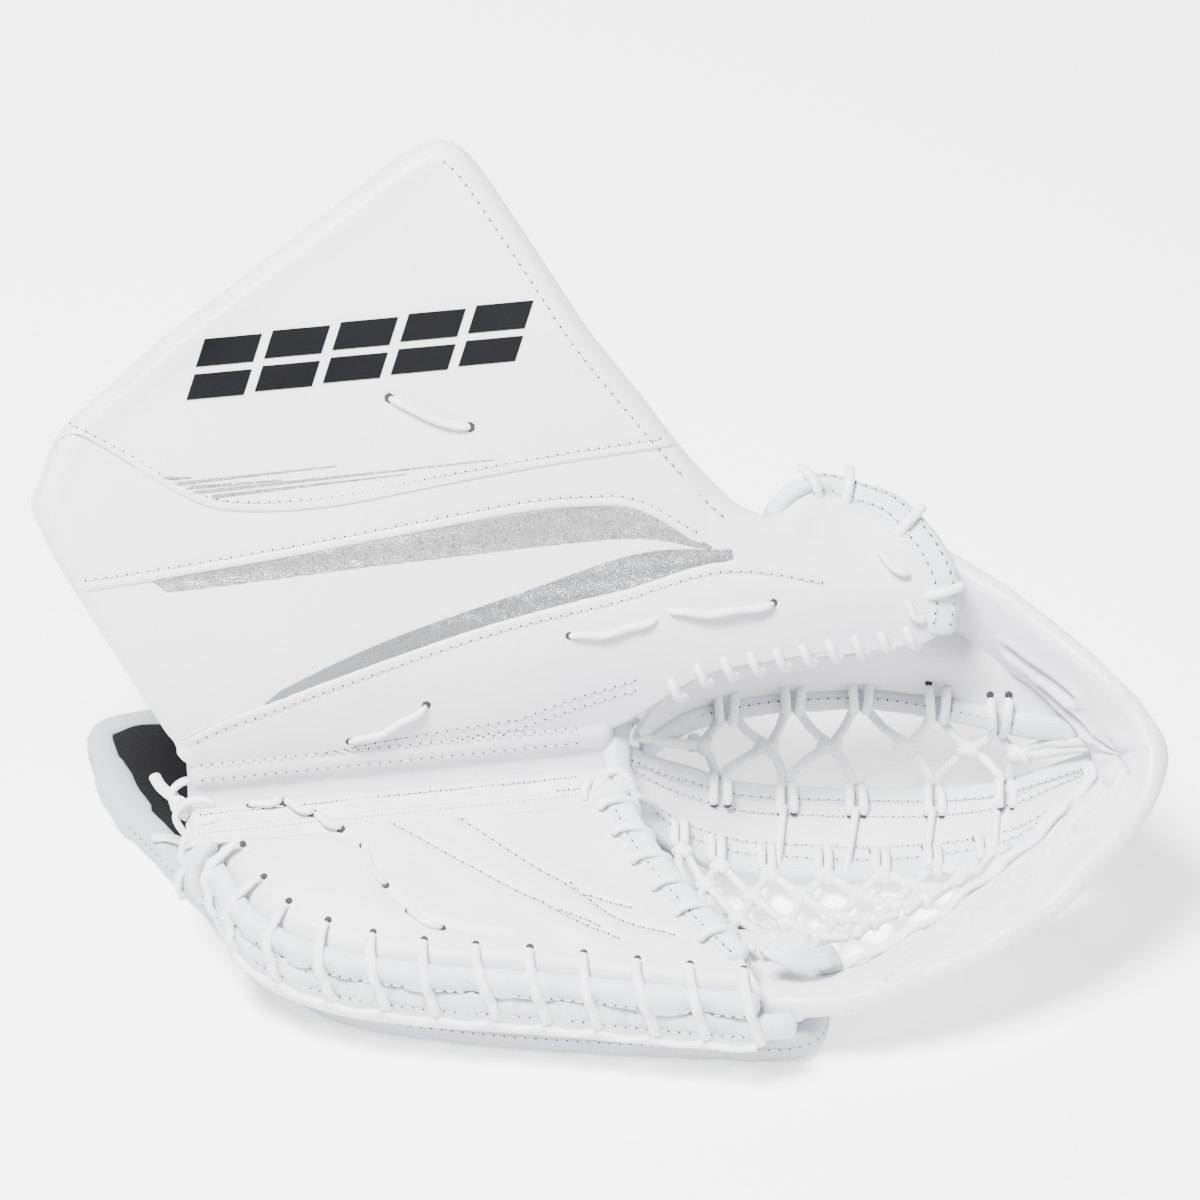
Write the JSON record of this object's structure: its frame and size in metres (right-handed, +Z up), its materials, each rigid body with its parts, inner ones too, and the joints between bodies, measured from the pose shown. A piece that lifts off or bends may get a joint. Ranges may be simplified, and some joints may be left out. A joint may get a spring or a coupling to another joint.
{
  "type": "goalie catch glove",
  "caption": "Left-hand hockey goalie catch glove with a one-piece cuff, laced palm and perimeter bands, and an open netted pocket with a T-shaped web.",
  "frame": {"origin": "on the flat base of the backhand pad, under the wrist break, where the glove rests", "axes": "+X from the heel of the hand towards the fingertips, +Y from the little-finger edge towards the cuff and thumb, +Z up out of the palm"},
  "size_m": [0.4797, 0.2729, 0.2978],
  "materials": {
    "white_leather": "smooth synthetic leather, soft sheen",
    "binding_tape": "woven binding tape",
    "white_lace": "matte lace",
    "foam": "closed-cell foam",
    "stiff_board": "sheet plastic",
    "black_lining": "woven nylon",
    "silver_inlay": "crackled metallic film",
    "black_mark": "smooth inlay",
    "black_webbing": "ribbed webbing",
    "hook_and_loop": "napped loop"
  },
  "bodies": {
    "palm_side": {"backhand_cover": "white_leather", "backhand_foam": "foam", "backhand_plate": "stiff_board", "backhand_liner": "black_lining", "backhand_binding": "binding_tape", "side_gusset": "white_leather", "palm_leather": "white_leather", "palm_foam": "foam", "palm_liner": "black_lining", "palm_edge_binding": "binding_tape", "side_edge_binding": "binding_tape", "edge_lacing": "white_lace", "pocket_binding": "binding_tape", "palm_tacks": "white_lace", "heel_lacing": "white_lace", "index_stall": "black_lining", "middle_stall": "black_lining", "ring_stall": "black_lining", "little_stall": "black_lining", "finger_band_leather": "white_leather", "finger_band_core": "foam", "finger_band_backing": "white_leather", "finger_band_lacing": "white_lace", "finger_tip_loop": "binding_tape", "lower_net": "white_lace"},
    "web": {"break_strip": "white_leather", "throat_binding": "binding_tape", "web_leather": "white_leather", "web_stiffener": "stiff_board", "web_backing": "white_leather", "web_binding_upper": "binding_tape", "web_binding_lower": "binding_tape", "web_ties": "white_lace", "tip_gusset": "white_leather"},
    "thumb_side": {"cuff_lower_leather": "white_leather", "cuff_upper_leather": "white_leather", "cuff_foam": "foam", "cuff_board": "stiff_board", "cuff_liner": "black_lining", "cuff_edge_piping": "binding_tape", "silver_inlay_upper": "silver_inlay", "silver_inlay_lower": "silver_inlay", "cuff_mark": "black_mark", "cuff_lace": "white_lace", "thumb_binding": "binding_tape", "thumb_stall": "black_lining", "thumb_tacks": "white_lace", "thumb_edge_lacing": "white_lace", "thumb_strip_leather": "white_leather", "thumb_strip_binding": "binding_tape", "upper_net": "white_lace", "thumb_band_leather": "white_leather", "thumb_band_core": "foam", "thumb_band_backing": "white_leather", "strap_loop_patch": "hook_and_loop"},
    "wrist_strap": {"wrist_strap_webbing": "black_webbing", "strap_hook_patch": "hook_and_loop"}
  },
  "joints": [
    {"name": "lower_break", "type": "hinge", "parent": "palm_side", "child": "web", "pos_m": [-0.164, -0.059, 0.06], "axis": [0.9912, 0.1305, 0.0201], "range_deg": [0, 15]},
    {"name": "upper_break", "type": "hinge", "parent": "web", "child": "thumb_side", "pos_m": [-0.169, -0.042, 0.062], "axis": [0.9912, 0.1305, 0.0201], "range_deg": [0, 15]},
    {"name": "strap_peel", "type": "hinge", "parent": "thumb_side", "child": "wrist_strap", "pos_m": [-0.1711, 0.0187, 0.1683], "axis": [0.9912, 0.1305, 0.0201], "range_deg": [0, 75]}
  ],
  "couplings": [
    {"joint": "upper_break", "follows": "lower_break", "ratio": 1}
  ]
}
